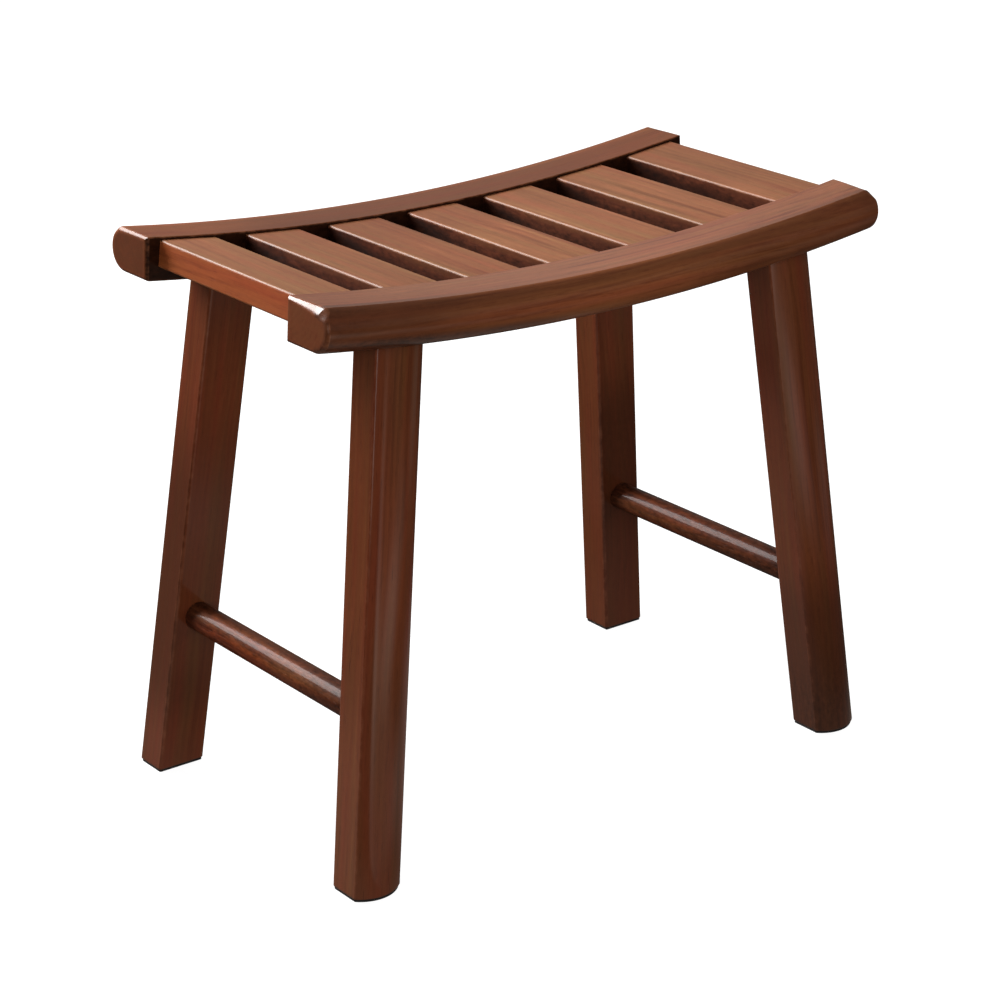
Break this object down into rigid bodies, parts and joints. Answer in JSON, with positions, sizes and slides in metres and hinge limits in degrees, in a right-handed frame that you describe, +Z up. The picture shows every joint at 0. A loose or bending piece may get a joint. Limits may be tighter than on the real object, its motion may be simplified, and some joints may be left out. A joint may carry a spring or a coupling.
{
  "type": "bath bench",
  "caption": "Slatted wooden bath bench: saddle-curved seat on splayed legs, round stretchers at both ends.",
  "frame": {"origin": "on the floor, in the middle between the four feet", "axes": "+X along the bench's length to the right, +Y to its back, +Z up"},
  "size_m": [0.5024, 0.2998, 0.4297],
  "materials": {
    "rail_wood": "walnut-stained hardwood under satin lacquer, grain along the rail",
    "slat_wood": "walnut-stained hardwood under satin lacquer, grain along the slat",
    "leg_wood": "walnut-stained hardwood under satin lacquer, grain along the leg",
    "stretcher_wood": "walnut-stained turned hardwood under satin lacquer",
    "dowel_wood": "bare beech, hidden in the joints",
    "pad_rubber": "thin black anti-slip sheet"
  },
  "bodies": {
    "root": {"back_left_dowels": "dowel_wood", "back_left_foot_pad": "pad_rubber", "back_left_leg": "leg_wood", "back_rail": "rail_wood", "back_right_dowels": "dowel_wood", "back_right_foot_pad": "pad_rubber", "back_right_leg": "leg_wood", "front_left_dowels": "dowel_wood", "front_left_foot_pad": "pad_rubber", "front_left_leg": "leg_wood", "front_rail": "rail_wood", "front_right_dowels": "dowel_wood", "front_right_foot_pad": "pad_rubber", "front_right_leg": "leg_wood", "left_stretcher": "stretcher_wood", "right_stretcher": "stretcher_wood", "slat_1": "slat_wood", "slat_2": "slat_wood", "slat_3": "slat_wood", "slat_4": "slat_wood", "slat_5": "slat_wood", "slat_6": "slat_wood", "slat_7": "slat_wood"}
  },
  "joints": []
}
